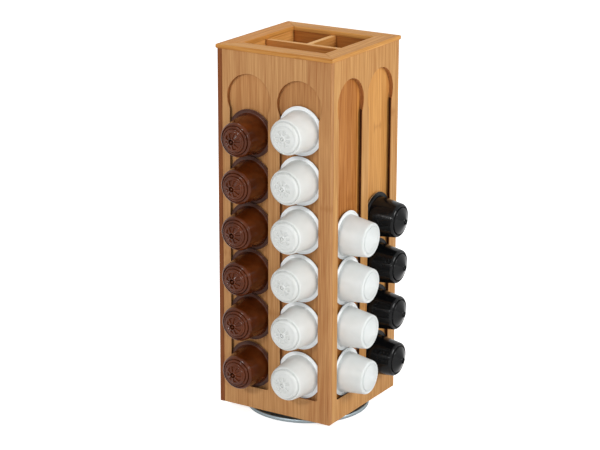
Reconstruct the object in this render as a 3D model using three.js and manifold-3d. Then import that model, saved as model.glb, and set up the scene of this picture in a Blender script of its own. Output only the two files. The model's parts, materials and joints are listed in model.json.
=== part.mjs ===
// Revolving coffee capsule dispenser: a square bamboo tower on a ball-bearing turntable.
// Every face has two keyhole channels. A capsule goes in at the round mouth at the top and slides
// down with its flange behind the channel's lips. The top is an open tray with three compartments.
// Millimetres, +Z up. The origin is the centre of the non-slip pad's underside, on the table.

import * as THREE from 'three'
import { mergeVertices } from 'three/addons/utils/BufferGeometryUtils.js'
import Module from 'manifold-3d'

const wasm = await Module()
wasm.setup()

// The capsules' flange and how many stand in a full channel: the tower's width and height follow
const FLANGE_DIAMETER = 55.6
const CHANNEL_CAPSULES = 6

// Tower
const PANEL_THICKNESS = 5
const BACKBOARD_THICKNESS = 5
const BOTTOM_BOARD_THICKNESS = 10
const EDGE_EASE = 0.8
const GLUE_LINE = 0.1

// Keyhole channels
const FLANGE_CLEARANCE = 0.4
const MULLION_WIDTH = 8.6
const STILE_WIDTH = 12.8
const LIP_THICKNESS = 1.5
const LIP_REACH = 3.3
const MOUTH_HEADROOM = 5.3
const MOUTH_TO_TOP = 24.4
const SLOT_FLOOR_HEIGHT = 25.6
const SLOT_CORNER_RADIUS = 3
const GROOVE_UNDERCUT = 2.1
const SHOULDER_RADIUS = 8

// Top frame and tray
const FRAME_OVERHANG = 1.5
const FRAME_THICKNESS = 5
const RAIL_WIDTH = 22.6
const TRAY_SETBACK = 1.2
const TRAY_DEPTH = 70
const TRAY_WALL_THICKNESS = 5
const TRAY_FLOOR_THICKNESS = 5
const DIVIDER_THICKNESS = 6.5
const LONG_DIVIDER_OFFSET = -3
const CROSS_DIVIDER_OFFSET = 0

// Turntable
const LOWER_PLATE_SETBACK = 2
const UPPER_PLATE_SETBACK = 14.5
const RACE_SETBACK = 23.5
const SHEET = 1.2
const LOWER_PLATE_TOP = 5
const SKIRT_CLEARANCE = 0.8
const SKIRT_ROUNDING = 2
const PAD_CLEARANCE = 0.8
const RACE_DEPTH = 0.6
const RACE_FLOOR_WIDTH = 2
const RACE_MOUTH_WIDTH = 4.4
const BALL_DIAMETER = 4.8
const BALL_COUNT = 12
const RUNNING_CLEARANCE = 0.1
const CAGE_WIDTH = 8
const CAGE_THICKNESS = 0.8
const RIVET_DIAMETER = 6
const RIVET_HEAD_DIAMETER = 14
const RIVET_HEAD_THICKNESS = 1
const RIVET_PLAY = 0.2
const DISH_FLOOR_DIAMETER = 20
const DISH_RIM_DIAMETER = 28
const DISH_DEPTH = 2.4

// Screws that hold the upper plate to the bottom board
const SCREW_COUNT = 4
const SCREW_TO_RACE = 18
const SCREW_DIAMETER = 3.5
const SCREW_HEAD_DIAMETER = 7
const SCREW_HEAD_THICKNESS = 1.8
const SCREW_LENGTH = 9
const SCREW_POINT_LENGTH = 2.5
const SCREW_CLEARANCE = 0.2
const ACCESS_HOLE_DIAMETER = 11

// Capsules: what all four kinds have in common. Heights are measured from the flange's middle plane.
const FLANGE_THICKNESS = 1.2
const FLANGE_RING_WIDTH = 5.2
const GROOVE_CLEARANCE = 0.15
const CAPSULE_HEIGHT = 39.3
const SHOULDER_HEIGHT = 28.6
const SHOULDER_DIAMETER = 39.4
const SHOULDER_CHAMFER = 1.8
const OUTLET_DIAMETER = 4.4
const OUTLET_DEPTH = 1.3

// Faces in a full turn, for each kind of round piece
const PLATE_FACES = 36
const RIVET_FACES = 16
const SCREW_FACES = 8
const BALL_FACES = 6
const BALL_RINGS = 4
const CAPSULE_FACES = 18
const MOUTH_STEPS = 20
const CORNER_STEPS = 3
const QUARTER = Math.PI / 2
const OVERRUN = 1

// The four kinds of capsule differ in colour, in how far they lean and in their front, which runs
// inwards from the shoulder over a groove and a stepped cone to the outlet's rim. Its points are
// shares of the shoulder's radius and of the capsule's height.
const CAPSULE_KINDS = {
  brown: {
    color: 0x4a2613,
    roughness: 0.28,
    leanShare: 1,
    frontShares: [[0.79, 0.794], [0.73, 0.776], [0.69, 0.82], [0.54, 0.87], [0.147, 1]],
  },
  white: {
    color: 0xe9e9e6,
    roughness: 0.45,
    leanShare: 0.5,
    frontShares: [[0.888, 0.786], [0.853, 0.855], [0.619, 0.919], [0.355, 0.949], [0.147, 0.969]],
  },
  slimWhite: {
    color: 0xe9e9e6,
    roughness: 0.45,
    leanShare: 1,
    frontShares: [[0.858, 0.786], [0.822, 0.771], [0.772, 0.817], [0.558, 0.87], [0.147, 0.969]],
  },
  black: {
    color: 0x17181a,
    roughness: 0.25,
    leanShare: 1,
    frontShares: [[0.858, 0.786], [0.822, 0.771], [0.772, 0.817], [0.558, 0.87], [0.147, 0.969]],
  },
}

// The capsules as they stand in the channels. A rise is the step in height from the groove's floor, or
// from the capsule below, as a share of the flange's diameter: under 1, the leaning flanges overlap.
const COLUMNS = [
  {
    face: 'front',
    side: -1,
    kind: 'brown',
    name: 'brown_capsule',
    riseShares: [0.509, 1.041, 0.955, 0.961, 0.96, 0.96],
  },
  {
    face: 'front',
    side: 1,
    kind: 'white',
    name: 'white_capsule',
    riseShares: [0.509, 1.058, 1.0036, 1.009, 1.0054, 1.011],
  },
  {
    face: 'right',
    side: -1,
    kind: 'slimWhite',
    name: 'slim_white_capsule',
    riseShares: [0.504, 0.979, 0.971, 0.959],
  },
  {
    face: 'right',
    side: 1,
    kind: 'black',
    name: 'black_capsule',
    riseShares: [0.52, 1.011, 1, 0.982],
  },
]
const FACES = ['front', 'right', 'back', 'left']

// Derived sizes
const mouthRadius = FLANGE_DIAMETER / 2 + FLANGE_CLEARANCE
const channelOffset = MULLION_WIDTH / 2 + mouthRadius
const bodyHalf = channelOffset + mouthRadius + STILE_WIDTH
const slotHalfWidth = mouthRadius - LIP_REACH
const bodyBottom = LOWER_PLATE_TOP + BALL_DIAMETER + 2 * (RUNNING_CLEARANCE - RACE_DEPTH) + SHEET
const slotFloor = bodyBottom + SLOT_FLOOR_HEIGHT
const grooveFloor = slotFloor - GROOVE_UNDERCUT
const mouthHeight = grooveFloor + CHANNEL_CAPSULES * FLANGE_DIAMETER + MOUTH_HEADROOM
const bodyTop = mouthHeight + mouthRadius + MOUTH_TO_TOP
const panelFront = -bodyHalf
const panelBack = panelFront + PANEL_THICKNESS
const backboardFront = panelBack + GLUE_LINE
const backboardBack = backboardFront + BACKBOARD_THICKNESS
const grooveFront = panelFront + LIP_THICKNESS
const grooveDepth = backboardFront - grooveFront
const flangeFreedom = grooveDepth - FLANGE_THICKNESS - 2 * GROOVE_CLEARANCE
const fullLean = Math.asin(flangeFreedom / FLANGE_DIAMETER)
const frameHalf = bodyHalf + FRAME_OVERHANG
const trayWallInside = -frameHalf + RAIL_WIDTH - TRAY_SETBACK
const trayWallOutside = trayWallInside - TRAY_WALL_THICKNESS
const trayTop = bodyTop - GLUE_LINE
const trayWallBottom = trayTop - TRAY_DEPTH
const upperPlateUnderside = bodyBottom - SHEET
const lowerPlateRadius = bodyHalf - LOWER_PLATE_SETBACK
const upperPlateRadius = bodyHalf - UPPER_PLATE_SETBACK
const raceRadius = bodyHalf - RACE_SETBACK
const screwRadius = raceRadius - SCREW_TO_RACE

const BAMBOO = { color: 0xc08d58, roughness: 0.5, metalness: 0 }
const STEEL = { color: 0xb9c2c6, roughness: 0.3, metalness: 1 }
const DARK_STEEL = { color: 0x7d8284, roughness: 0.4, metalness: 1 }
const RUBBER = { color: 0x1c1c1c, roughness: 0.9, metalness: 0 }

// A geometry with only its places left, its corners merged and no triangle without an area
function mergedMesh(geometry) {
  const bare = geometry.clone()
  bare.deleteAttribute('normal')
  bare.deleteAttribute('uv')
  const merged = mergeVertices(bare)
  const index = merged.getIndex().array
  const triangles = []
  for (let at = 0; at < index.length; at += 3) {
    const [a, b, c] = [index[at], index[at + 1], index[at + 2]]
    if (a !== b && b !== c && c !== a) triangles.push(a, b, c)
  }
  return { places: merged.getAttribute('position').array, triangles }
}

function solid(geometry) {
  const { places, triangles } = mergedMesh(geometry)
  const mesh = new wasm.Mesh({
    numProp: 3,
    vertProperties: new Float32Array(places),
    triVerts: new Uint32Array(triangles),
  })
  return new wasm.Manifold(mesh)
}

function geometryOf(manifold) {
  const mesh = manifold.getMesh()
  const geometry = new THREE.BufferGeometry()
  geometry.setAttribute('position', new THREE.BufferAttribute(new Float32Array(mesh.vertProperties), 3))
  geometry.setIndex(new THREE.BufferAttribute(new Uint32Array(mesh.triVerts), 1))
  geometry.computeVertexNormals()
  return geometry
}

function piece(name, shape, look) {
  const mesh = new THREE.Mesh(geometryOf(shape), new THREE.MeshStandardMaterial(look))
  mesh.name = name
  return mesh
}

// A block between two corners
function block(low, high) {
  const size = new THREE.Vector3().subVectors(high, low)
  const middle = new THREE.Vector3().addVectors(low, high).multiplyScalar(1 / 2)
  return solid(new THREE.BoxGeometry(size.x, size.y, size.z).translate(middle.x, middle.y, middle.z))
}

// An outline drawn in x and z, given a depth along y
function standingPrism(outline, front, back) {
  const geometry = new THREE.ExtrudeGeometry(new THREE.Shape(outline), {
    depth: back - front,
    bevelEnabled: false,
  })
  return solid(geometry.rotateX(QUARTER).translate(0, back, 0))
}

// An outline drawn in x and y, given a height along z
function lyingPrism(outline, bottom, top) {
  const geometry = new THREE.ExtrudeGeometry(new THREE.Shape(outline), {
    depth: top - bottom,
    bevelEnabled: false,
  })
  return solid(geometry.translate(0, 0, bottom))
}

// A profile of [radius, height] points, from the bottom of the axis round to its top, turned about z
function turned(profile, faces) {
  const points = profile.map(([radius, height]) => new THREE.Vector2(radius, height))
  return solid(new THREE.LatheGeometry(points, faces).rotateX(QUARTER))
}

function disc(radius, bottom, top, faces) {
  return turned([[0, bottom], [radius, bottom], [radius, top], [0, top]], faces)
}

function arc(centreX, centreY, radius, from, to, steps) {
  const points = []
  for (let step = 0; step <= steps; step += 1) {
    const angle = from + ((to - from) * step) / steps
    points.push(new THREE.Vector2(centreX + radius * Math.cos(angle), centreY + radius * Math.sin(angle)))
  }
  return points
}

// The part of an arc after its first point, where the point before it is already in the outline
function arcAfter(...values) {
  return arc(...values).slice(1)
}

// The keyhole as it shows: a round mouth that runs through rounded shoulders into a straight slot
function keyholeOutline(centreX) {
  const corner = slotHalfWidth - SLOT_CORNER_RADIUS
  const cornerHeight = slotFloor + SLOT_CORNER_RADIUS
  const shoulderX = slotHalfWidth + SHOULDER_RADIUS
  const reach = mouthRadius + SHOULDER_RADIUS
  const shoulderDrop = Math.sqrt(reach * reach - shoulderX * shoulderX)
  const shoulderHeight = mouthHeight - shoulderDrop
  const meeting = Math.atan2(shoulderDrop, shoulderX)
  const mouth = [centreX, mouthHeight, mouthRadius]
  return [
    ...arc(centreX + corner, cornerHeight, SLOT_CORNER_RADIUS, -QUARTER, 0, CORNER_STEPS),
    ...arc(centreX + shoulderX, shoulderHeight, SHOULDER_RADIUS, Math.PI, Math.PI - meeting, CORNER_STEPS),
    ...arcAfter(...mouth, -meeting, 0, CORNER_STEPS),
    ...arcAfter(...mouth, 0, Math.PI, MOUTH_STEPS),
    ...arcAfter(...mouth, Math.PI, Math.PI + meeting, CORNER_STEPS),
    ...arcAfter(centreX - shoulderX, shoulderHeight, SHOULDER_RADIUS, meeting, 0, CORNER_STEPS),
    ...arc(centreX - corner, cornerHeight, SLOT_CORNER_RADIUS, Math.PI, Math.PI + QUARTER, CORNER_STEPS),
  ]
}

// The wider groove behind the lips, where the capsules' flanges slide
function grooveOutline(centreX) {
  const corner = mouthRadius - SLOT_CORNER_RADIUS
  const cornerHeight = grooveFloor + SLOT_CORNER_RADIUS
  return [
    ...arc(centreX + corner, cornerHeight, SLOT_CORNER_RADIUS, -QUARTER, 0, CORNER_STEPS),
    ...arc(centreX, mouthHeight, mouthRadius, 0, Math.PI, MOUTH_STEPS),
    ...arc(centreX - corner, cornerHeight, SLOT_CORNER_RADIUS, Math.PI, Math.PI + QUARTER, CORNER_STEPS),
  ]
}

// The panels go round like a pinwheel: each one runs out to the corner at its right-hand end and
// covers the next one's edge there. Only that corner is eased.
function panel() {
  const cornerX = bodyHalf
  const coveredX = panelBack + GLUE_LINE
  const section = [
    new THREE.Vector2(coveredX, panelFront),
    new THREE.Vector2(cornerX - EDGE_EASE, panelFront),
    new THREE.Vector2(cornerX, panelFront + EDGE_EASE),
    new THREE.Vector2(cornerX, panelBack),
    new THREE.Vector2(coveredX, panelBack),
  ]
  let board = lyingPrism(section, bodyBottom, bodyTop - GLUE_LINE)
  for (const side of [-1, 1]) {
    const centreX = side * channelOffset
    const keyhole = standingPrism(keyholeOutline(centreX), panelFront - OVERRUN, panelBack + OVERRUN)
    const groove = standingPrism(grooveOutline(centreX), grooveFront, panelBack + OVERRUN)
    board = board.subtract(keyhole).subtract(groove)
  }
  return board
}

// The board behind a panel closes the channels at the back. These boards make the inner box.
function backboard() {
  return block(
    new THREE.Vector3(backboardBack + GLUE_LINE, backboardFront, bodyBottom),
    new THREE.Vector3(-backboardFront, backboardBack, bodyTop - GLUE_LINE),
  )
}

// One side of the mitred top frame, with its long edges eased where they show
function frameRail() {
  const outer = -frameHalf
  const inner = outer + RAIL_WIDTH
  const top = bodyTop + FRAME_THICKNESS
  const section = [
    new THREE.Vector2(outer, bodyTop + EDGE_EASE),
    new THREE.Vector2(outer + EDGE_EASE, bodyTop),
    new THREE.Vector2(inner, bodyTop),
    new THREE.Vector2(inner, top - EDGE_EASE),
    new THREE.Vector2(inner - EDGE_EASE, top),
    new THREE.Vector2(outer + EDGE_EASE, top),
    new THREE.Vector2(outer, top - EDGE_EASE),
  ]
  const bar = new THREE.ExtrudeGeometry(new THREE.Shape(section), { depth: 2 * frameHalf, bevelEnabled: false })
  bar.rotateX(QUARTER).rotateZ(QUARTER).translate(outer, 0, 0)
  const mitres = [
    new THREE.Vector2(outer - OVERRUN + GLUE_LINE, outer - OVERRUN),
    new THREE.Vector2(-outer + OVERRUN - GLUE_LINE, outer - OVERRUN),
    new THREE.Vector2(-inner - OVERRUN - GLUE_LINE, inner + OVERRUN),
    new THREE.Vector2(inner + OVERRUN + GLUE_LINE, inner + OVERRUN),
  ]
  return solid(bar).intersect(lyingPrism(mitres, bodyTop - OVERRUN, top + OVERRUN))
}

function trayWall() {
  return block(
    new THREE.Vector3(trayWallInside + GLUE_LINE, trayWallOutside, trayWallBottom),
    new THREE.Vector3(-trayWallOutside, trayWallInside, trayTop),
  )
}

function trayFloor() {
  const top = trayWallBottom - GLUE_LINE
  return block(
    new THREE.Vector3(trayWallOutside, trayWallOutside, top - TRAY_FLOOR_THICKNESS),
    new THREE.Vector3(-trayWallOutside, -trayWallOutside, top),
  )
}

function longDivider() {
  const front = LONG_DIVIDER_OFFSET - DIVIDER_THICKNESS / 2
  const end = -trayWallInside - GLUE_LINE
  return block(
    new THREE.Vector3(-end, front, trayWallBottom),
    new THREE.Vector3(end, front + DIVIDER_THICKNESS, trayTop),
  )
}

function crossDivider() {
  const left = CROSS_DIVIDER_OFFSET - DIVIDER_THICKNESS / 2
  const front = LONG_DIVIDER_OFFSET + DIVIDER_THICKNESS / 2 + GLUE_LINE
  return block(
    new THREE.Vector3(left, front, trayWallBottom),
    new THREE.Vector3(left + DIVIDER_THICKNESS, -trayWallInside - GLUE_LINE, trayTop),
  )
}

// Where the screws stand, as x and y round the turntable's axis
function screwPlaces() {
  const places = []
  for (let screw = 0; screw < SCREW_COUNT; screw += 1) {
    const angle = ((2 * screw + 1) * Math.PI) / SCREW_COUNT
    places.push([screwRadius * Math.cos(angle), screwRadius * Math.sin(angle)])
  }
  return places
}

function bottomBoard() {
  const half = -backboardBack - GLUE_LINE
  const bottom = bodyBottom + GLUE_LINE
  let board = block(
    new THREE.Vector3(-half, -half, bottom),
    new THREE.Vector3(half, half, bottom + BOTTOM_BOARD_THICKNESS),
  )
  const depth = upperPlateUnderside + SCREW_LENGTH + SCREW_CLEARANCE
  for (const [x, y] of screwPlaces()) {
    const pilot = disc(SCREW_DIAMETER / 2 + SCREW_CLEARANCE, bodyBottom - OVERRUN, depth, SCREW_FACES)
    board = board.subtract(pilot.translate(x, y, 0))
  }
  return board
}

// The pressed lower plate: a flat top with a rounded rim turned down, and a coined ball race
function lowerPlate() {
  const rim = lowerPlateRadius
  const top = LOWER_PLATE_TOP
  const underside = top - SHEET
  const race = [RACE_FLOOR_WIDTH / 2, RACE_MOUTH_WIDTH / 2]
  const corner = arc(rim - SKIRT_ROUNDING, top - SKIRT_ROUNDING, SKIRT_ROUNDING, 0, QUARTER, CORNER_STEPS)
  const profile = [
    [0, underside],
    [rim - SHEET, underside],
    [rim - SHEET, SKIRT_CLEARANCE],
    [rim, SKIRT_CLEARANCE],
    ...corner.map((point) => [point.x, point.y]),
    [raceRadius + race[1], top],
    [raceRadius + race[0], top - RACE_DEPTH],
    [raceRadius - race[0], top - RACE_DEPTH],
    [raceRadius - race[1], top],
    [0, top],
  ]
  const shank = disc(RIVET_DIAMETER / 2 + RIVET_PLAY, underside - OVERRUN, top + OVERRUN, RIVET_FACES)
  const [accessX, accessY] = screwPlaces()[0]
  const access = disc(ACCESS_HOLE_DIAMETER / 2, underside - OVERRUN, top + OVERRUN, RIVET_FACES)
  return turned(profile, PLATE_FACES).subtract(shank).subtract(access.translate(accessX, accessY, 0))
}

// The upper plate, dished at the middle so that the rivet's head stays clear of the bottom board
function upperPlate() {
  const top = bodyBottom
  const underside = upperPlateUnderside
  const rim = upperPlateRadius
  const race = [RACE_FLOOR_WIDTH / 2, RACE_MOUTH_WIDTH / 2]
  const profile = [
    [0, underside - DISH_DEPTH],
    [DISH_FLOOR_DIAMETER / 2, underside - DISH_DEPTH],
    [DISH_RIM_DIAMETER / 2, underside],
    [raceRadius - race[1], underside],
    [raceRadius - race[0], underside + RACE_DEPTH],
    [raceRadius + race[0], underside + RACE_DEPTH],
    [raceRadius + race[1], underside],
    [rim, underside],
    [rim, top],
    [DISH_RIM_DIAMETER / 2, top],
    [DISH_FLOOR_DIAMETER / 2, top - DISH_DEPTH],
    [0, top - DISH_DEPTH],
  ]
  const holeBottom = underside - DISH_DEPTH - OVERRUN
  let plate = turned(profile, PLATE_FACES)
  plate = plate.subtract(disc(RIVET_DIAMETER / 2 + RIVET_PLAY, holeBottom, top + OVERRUN, RIVET_FACES))
  for (const [x, y] of screwPlaces()) {
    const hole = disc(SCREW_DIAMETER / 2 + SCREW_CLEARANCE, holeBottom, top + OVERRUN, SCREW_FACES)
    plate = plate.subtract(hole.translate(x, y, 0))
  }
  return plate
}

// The balls, held at their spacing by a flat ring between the two plates
function ballCage() {
  const middle = (LOWER_PLATE_TOP + upperPlateUnderside) / 2
  const low = middle - CAGE_THICKNESS / 2
  const high = middle + CAGE_THICKNESS / 2
  let cage = disc(raceRadius + CAGE_WIDTH / 2, low, high, PLATE_FACES)
  cage = cage.subtract(disc(raceRadius - CAGE_WIDTH / 2, low - OVERRUN, high + OVERRUN, PLATE_FACES))
  const ball = solid(new THREE.SphereGeometry(BALL_DIAMETER / 2, BALL_FACES, BALL_RINGS).rotateX(QUARTER))
  for (let count = 0; count < BALL_COUNT; count += 1) {
    const angle = (2 * Math.PI * count) / BALL_COUNT
    const [x, y] = [raceRadius * Math.cos(angle), raceRadius * Math.sin(angle)]
    cage = cage.add(ball.translate(x, y, middle))
  }
  return cage
}

// The rivet that the upper plate turns on, with a head under the lower plate and one in the dish
function turntableRivet() {
  const lowerHeadTop = LOWER_PLATE_TOP - SHEET - GLUE_LINE
  const upperHeadBottom = bodyBottom - DISH_DEPTH + RIVET_PLAY
  const head = RIVET_HEAD_DIAMETER / 2
  const shank = RIVET_DIAMETER / 2
  const profile = [
    [0, lowerHeadTop - RIVET_HEAD_THICKNESS],
    [head, lowerHeadTop - RIVET_HEAD_THICKNESS],
    [head, lowerHeadTop],
    [shank, lowerHeadTop],
    [shank, upperHeadBottom],
    [head, upperHeadBottom],
    [shank, upperHeadBottom + RIVET_HEAD_THICKNESS],
    [0, upperHeadBottom + RIVET_HEAD_THICKNESS],
  ]
  return turned(profile, RIVET_FACES)
}

// The non-slip pad fills the lower plate's hollow and stands a little below its rim
function nonSlipPad() {
  const top = LOWER_PLATE_TOP - SHEET - GLUE_LINE
  const radius = lowerPlateRadius - SHEET - PAD_CLEARANCE
  const pocketBottom = top - RIVET_HEAD_THICKNESS - GLUE_LINE
  const pocket = disc(RIVET_HEAD_DIAMETER / 2 + PAD_CLEARANCE, pocketBottom, top + OVERRUN, RIVET_FACES)
  const [accessX, accessY] = screwPlaces()[0]
  const access = disc(ACCESS_HOLE_DIAMETER / 2, -OVERRUN, top + OVERRUN, RIVET_FACES)
  return disc(radius, 0, top, PLATE_FACES).subtract(pocket).subtract(access.translate(accessX, accessY, 0))
}

function plateScrew() {
  const seat = upperPlateUnderside - GLUE_LINE
  const head = SCREW_HEAD_DIAMETER / 2
  const shank = SCREW_DIAMETER / 2
  const tip = upperPlateUnderside + SCREW_LENGTH
  const profile = [
    [0, seat - SCREW_HEAD_THICKNESS],
    [head / 2, seat - SCREW_HEAD_THICKNESS],
    [head, seat - SCREW_HEAD_THICKNESS / 2],
    [head, seat],
    [shank, seat],
    [shank, tip - SCREW_POINT_LENGTH],
    [0, tip],
  ]
  return turned(profile, SCREW_FACES)
}

// A capsule with its axis along z and its flange's middle plane at 0
function capsule(kind) {
  const flange = FLANGE_DIAMETER / 2
  const shoulder = SHOULDER_DIAMETER / 2
  const front = kind.frontShares.map(([radius, height]) => [radius * shoulder, height * CAPSULE_HEIGHT])
  const tip = front[front.length - 1][1]
  const profile = [
    [0, -FLANGE_THICKNESS / 2],
    [flange, -FLANGE_THICKNESS / 2],
    [flange, FLANGE_THICKNESS / 2],
    [flange - FLANGE_RING_WIDTH, FLANGE_THICKNESS / 2],
    [shoulder, SHOULDER_HEIGHT],
    [shoulder - SHOULDER_CHAMFER, SHOULDER_HEIGHT + SHOULDER_CHAMFER],
    ...front,
    [OUTLET_DIAMETER / 2, tip],
    [OUTLET_DIAMETER / 2, tip - OUTLET_DEPTH],
    [0, tip - OUTLET_DEPTH],
  ]
  return turned(profile, CAPSULE_FACES)
}

function stackHeights(column) {
  let height = grooveFloor
  return column.riseShares.map((rise) => {
    height += rise * FLANGE_DIAMETER
    return height
  })
}

// A capsule hangs by its flange: the top edge leans on the lips and the bottom edge on the backboard
function capsuleColumn(column) {
  const kind = CAPSULE_KINDS[column.kind]
  const shape = capsule(kind)
  return stackHeights(column).map((height, level) => {
    const look = { color: kind.color, roughness: kind.roughness, metalness: 0 }
    const mesh = piece(`${column.name}_${level + 1}`, shape, look)
    mesh.rotation.x = QUARTER + kind.leanShare * fullLean
    mesh.position.set(column.side * channelOffset, grooveFront + grooveDepth / 2, height)
    return mesh
  })
}

function turntable() {
  const group = new THREE.Group()
  group.add(
    piece('non_slip_pad', nonSlipPad(), RUBBER),
    piece('turntable_lower_plate', lowerPlate(), STEEL),
    piece('turntable_rivet', turntableRivet(), DARK_STEEL),
    piece('ball_cage', ballCage(), DARK_STEEL),
    piece('turntable_upper_plate', upperPlate(), STEEL),
  )
  screwPlaces().forEach(([x, y], screw) => {
    const mesh = piece(`plate_screw_${screw + 1}`, plateScrew(), DARK_STEEL)
    mesh.position.set(x, y, 0)
    group.add(mesh)
  })
  return group
}

// Everything that belongs to one face of the tower, modelled for the front and turned into place
function faceGroup(face, quarterTurns) {
  const group = new THREE.Group()
  group.rotation.z = quarterTurns * QUARTER
  group.add(
    piece(`${face}_panel`, panel(), BAMBOO),
    piece(`${face}_backboard`, backboard(), BAMBOO),
    piece(`${face}_frame_rail`, frameRail(), BAMBOO),
    piece(`${face}_tray_wall`, trayWall(), BAMBOO),
  )
  for (const column of COLUMNS) {
    if (column.face === face) group.add(...capsuleColumn(column))
  }
  return group
}

function dispenser() {
  const whole = new THREE.Group()
  whole.add(turntable())
  FACES.forEach((face, quarterTurns) => whole.add(faceGroup(face, quarterTurns)))
  whole.add(
    piece('bottom_board', bottomBoard(), BAMBOO),
    piece('tray_floor', trayFloor(), BAMBOO),
    piece('tray_long_divider', longDivider(), BAMBOO),
    piece('tray_cross_divider', crossDivider(), BAMBOO),
  )
  return whole
}

export default dispenser()
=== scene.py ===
# %% [markdown]
# A revolving coffee capsule dispenser.
# The real object is a square bamboo tower that turns on a round steel plate turntable. Two of its
# four faces hold columns of coffee capsules, and the top is an open tray. The imported CAD model
# fixes every place and size, so the first step loads it, and everything after that is a better
# surface for a piece that is already there.

# %% Load the imported model
import json
import math
import random

import bmesh
import bpy
from mathutils import Matrix, Vector


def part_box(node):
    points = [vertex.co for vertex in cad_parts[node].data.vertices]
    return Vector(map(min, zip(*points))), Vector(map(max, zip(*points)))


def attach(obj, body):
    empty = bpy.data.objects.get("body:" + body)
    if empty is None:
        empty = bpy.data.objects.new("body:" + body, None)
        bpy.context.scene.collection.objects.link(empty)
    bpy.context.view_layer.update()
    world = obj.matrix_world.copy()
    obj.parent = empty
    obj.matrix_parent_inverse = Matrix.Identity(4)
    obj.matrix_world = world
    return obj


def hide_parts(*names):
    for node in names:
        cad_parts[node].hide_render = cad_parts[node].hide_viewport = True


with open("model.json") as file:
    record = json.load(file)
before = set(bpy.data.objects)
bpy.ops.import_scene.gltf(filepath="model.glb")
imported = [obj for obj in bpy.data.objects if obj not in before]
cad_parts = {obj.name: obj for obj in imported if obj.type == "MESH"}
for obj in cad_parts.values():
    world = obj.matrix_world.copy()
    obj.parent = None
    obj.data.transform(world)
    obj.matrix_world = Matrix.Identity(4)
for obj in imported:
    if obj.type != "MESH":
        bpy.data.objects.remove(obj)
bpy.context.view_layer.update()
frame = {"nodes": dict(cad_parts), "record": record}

MM = 0.001

# %% [markdown]
# Each new piece needs to know which body carries its CAD node. The record lists the nodes of every
# body, so turning that list round gives the body of each node.

# %% Find the body that carries each node
body_of_node = {}
for body, members in frame["record"]["behaviour"]["bodies"].items():
    for member in members:
        body_of_node[member] = body

# %% [markdown]
# A material is a small network of shader nodes. One function that adds a node, sets its own
# properties and fills its sockets keeps every network readable: a socket takes a number, a colour,
# an output of an earlier node, or the node itself, which stands for its first output. Colours are
# written as sRGB hex, as a paint chart gives them, and Blender calculates in linear light, so one
# function does that conversion.

# %% Helpers for materials
def linear(hex_colour):
    channels = [int(hex_colour[start:start + 2], 16) / 255 for start in (1, 3, 5)]
    curve = [c / 12.92 if c <= 0.04045 else ((c + 0.055) / 1.055) ** 2.4 for c in channels]
    return (*curve, 1.0)


def add_node(tree, kind, sockets=None, **settings):
    node = tree.nodes.new("ShaderNode" + kind)
    for name, value in settings.items():
        setattr(node, name, value)
    for key, value in (sockets or {}).items():
        if isinstance(value, bpy.types.Node):
            value = value.outputs[0]
        if isinstance(value, bpy.types.NodeSocket):
            tree.links.new(value, node.inputs[key])
        else:
            node.inputs[key].default_value = value
    return node


def new_material(name):
    material = bpy.data.materials.new(name)
    material.use_nodes = True
    material.node_tree.nodes.clear()
    return material, material.node_tree


def finish_material(tree, shader):
    add_node(tree, "OutputMaterial", {"Surface": shader})


print("bamboo in linear light", [round(c, 3) for c in linear("#CE9B63")[:3]])

# %% [markdown]
# The tower is laminated bamboo under a satin lacquer. The board is made of strips about two
# centimetres wide, glued edge to edge. Each strip has its own tone, long straight fibres and,
# every 30 to 40 centimetres, a soft brown node where the cane had a joint. An image would repeat
# and could not follow the grain round the edges, so the pattern is built from coordinates: a
# one-dimensional Voronoi texture gives the uneven strips, and noise that is stretched along the
# grain gives the fibres. The fibres of real bamboo are about 0.3 mm apart, which is finer than the
# picture can show, so they are drawn 1.2 mm apart. Lacquer over open fibres gives the eye a dull
# sheen without clear reflections.

# %% Bamboo
STRIP_WIDTH = 19
FIBRE_WIDTH = 1.2
FIBRE_LENGTH = 50
STREAK_WIDTH = 3.6
STREAK_LENGTH = 150
STRIP_UNEVENNESS = 0.7
STRIP_SHIFT = 0.6
TONE_START = -0.8
STREAK_STRENGTH = 0.85
FIBRE_STRENGTH = 1.7
NODE_SPACING = 380
NODE_HALF_WIDTH = 6
NODE_WAVE = 26
NODE_WAVE_START = -12
NODE_STRENGTH = 0.32
NODE_BROWN = "#8A4F22"
GLUE_LINE_SHARE = 0.018
GLUE_STRENGTH = 0.25
GLUE_BROWN = "#7A4822"
GRAIN_RELIEF = 0.08
AXES = "XYZ"


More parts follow.
